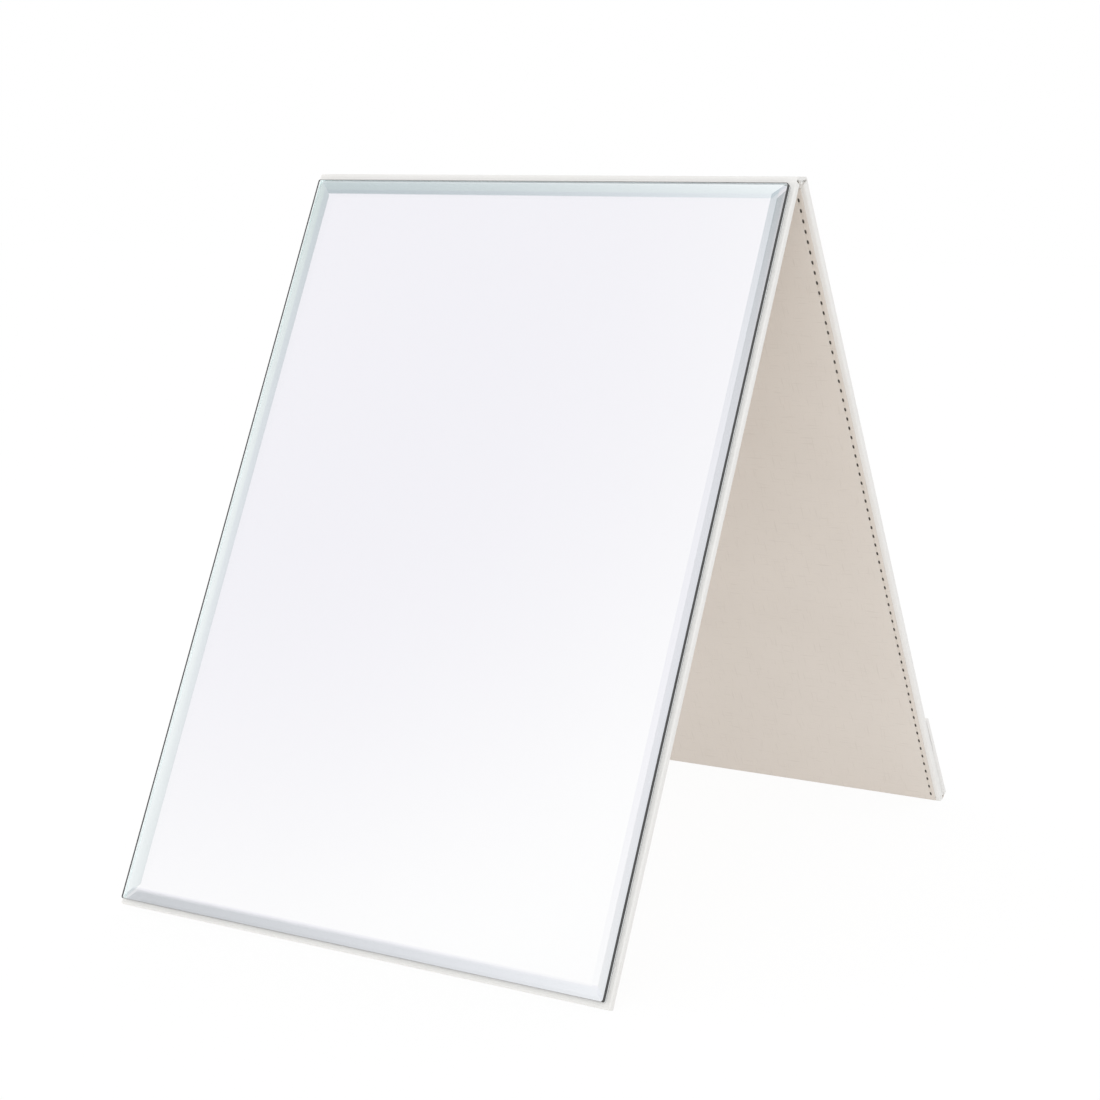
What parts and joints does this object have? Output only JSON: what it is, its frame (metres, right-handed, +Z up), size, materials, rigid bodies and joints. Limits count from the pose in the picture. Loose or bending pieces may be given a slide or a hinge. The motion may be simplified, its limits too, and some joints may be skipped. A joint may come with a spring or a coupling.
{
  "type": "makeup mirror",
  "caption": "Free-standing folding makeup mirror: a bevelled mirror plate on a leather-covered leaf, a hinged stand leaf behind it that also shuts over the glass, and a magnetic closing flap.",
  "frame": {"origin": "on the table, at the middle of the object's width and depth", "axes": "+X to the right as the user faces the glass, +Y away from the user, +Z up"},
  "size_m": [0.214, 0.2948, 0.2712],
  "materials": {
    "glass": "polished",
    "silvering": "polished",
    "film": "satin",
    "tape": "matte",
    "skin": "satin",
    "lining": "matte",
    "board": "matte",
    "infill": "matte",
    "stay": "matte",
    "steel": "satin",
    "magnet": "polished"
  },
  "bodies": {
    "mirror_leaf": {"mirror_glass": "glass", "mirror_silvering": "silvering", "mirror_safety_film": "film", "mirror_tape": "tape", "mirror_leaf_skin": "skin", "mirror_leaf_board": "board", "mirror_leaf_infill": "infill", "mirror_leaf_keepers": "steel", "mirror_leaf_lining": "lining"},
    "spine": {"spine_skin": "skin", "spine_stay": "stay", "spine_lining": "lining"},
    "stand_leaf": {"stand_leaf_skin": "skin", "stand_leaf_board": "board", "stand_leaf_infill": "infill", "stand_leaf_keepers": "steel", "stand_leaf_lining": "lining", "flap_fold_roll": "lining"},
    "closing_flap": {"flap_skin": "skin", "flap_board": "board", "flap_infill": "infill", "flap_magnets": "magnet", "flap_lining": "lining"}
  },
  "joints": [
    {"name": "spine_fold", "type": "hinge", "parent": "mirror_leaf", "child": "spine", "pos_m": [0, -0.01021, 0.2708], "axis": [1, 0, 0], "range_deg": [-27.5, 152]},
    {"name": "stand_fold", "type": "hinge", "parent": "spine", "child": "stand_leaf", "pos_m": [0, -0.00271, 0.2708], "axis": [1, 0, 0], "range_deg": [-27.5, 152]},
    {"name": "flap_fold", "type": "hinge", "parent": "stand_leaf", "child": "closing_flap", "pos_m": [0, 0.14538, 0.00062], "axis": [-1, 0, 0], "range_deg": [0, 178]}
  ],
  "couplings": [
    {"joint": "spine_fold", "follows": "stand_fold", "ratio": 1}
  ]
}
